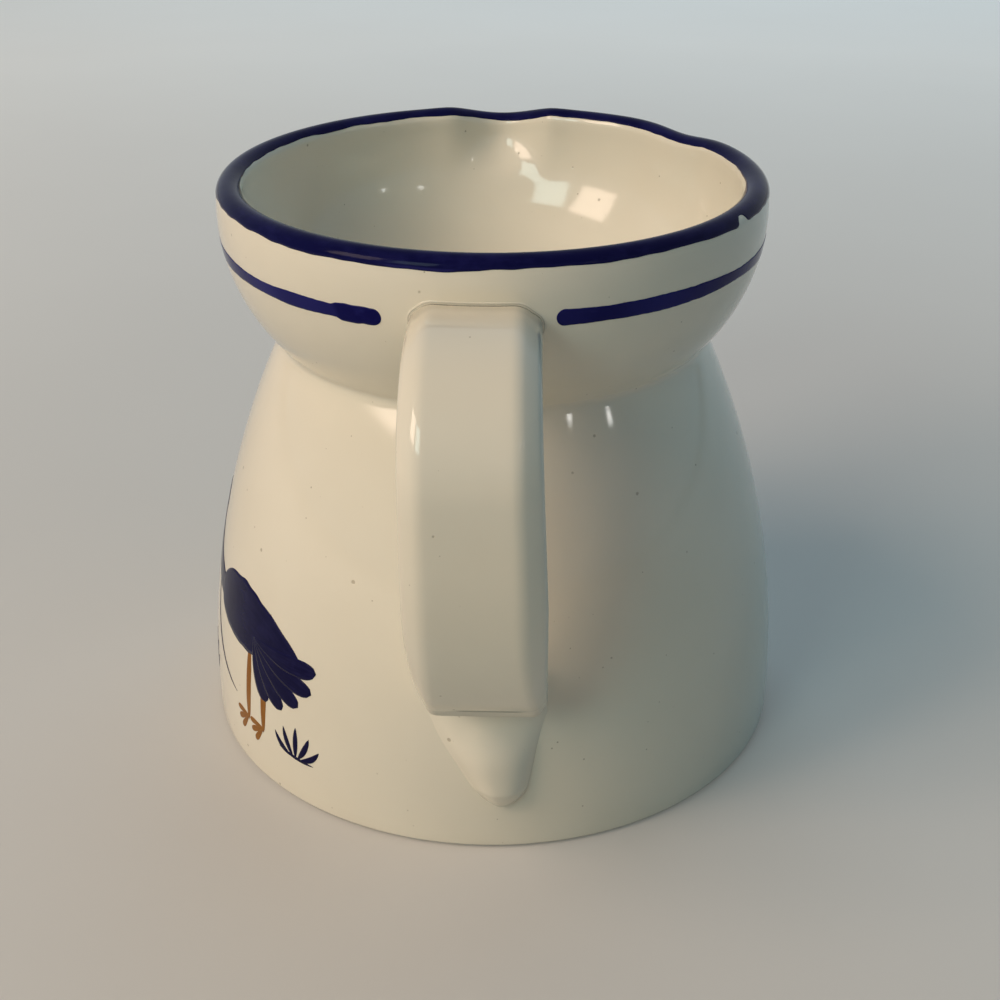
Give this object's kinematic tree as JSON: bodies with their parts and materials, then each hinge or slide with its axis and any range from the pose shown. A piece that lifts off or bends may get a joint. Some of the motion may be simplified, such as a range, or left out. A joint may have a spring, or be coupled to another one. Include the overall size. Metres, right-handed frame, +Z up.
{
  "type": "cream jug",
  "caption": "Small glazed jug with a bell-shaped body, a flared bowl with a pulled pouring lip, a folded strap handle and a painted goose, for pouring cream.",
  "frame": {"origin": "centre of the foot ring, on the surface that the jug stands on", "axes": "+Z up along the jug's axis, handle at -Y, pouring lip at +Y, goose at -X"},
  "size_m": [0.1098, 0.1293, 0.104],
  "materials": {
    "glaze": "glossy cream-white glaze",
    "cobalt": "brushed cobalt colour under gloss glaze",
    "navy": "brushed navy colour under gloss glaze",
    "ochre": "brushed ochre colour under gloss glaze",
    "dry_clay": "unglazed fired clay"
  },
  "bodies": {
    "root": {"body": "glaze", "foot_ring": "dry_clay", "bowl": "glaze", "lip": "glaze", "spout": "glaze", "handle": "glaze", "handle_tail": "glaze", "rim_band": "cobalt", "spout_band": "cobalt", "collar_stripe": "cobalt", "goose": "navy", "goose_trim": "ochre", "grass_tufts": "navy"}
  },
  "joints": []
}
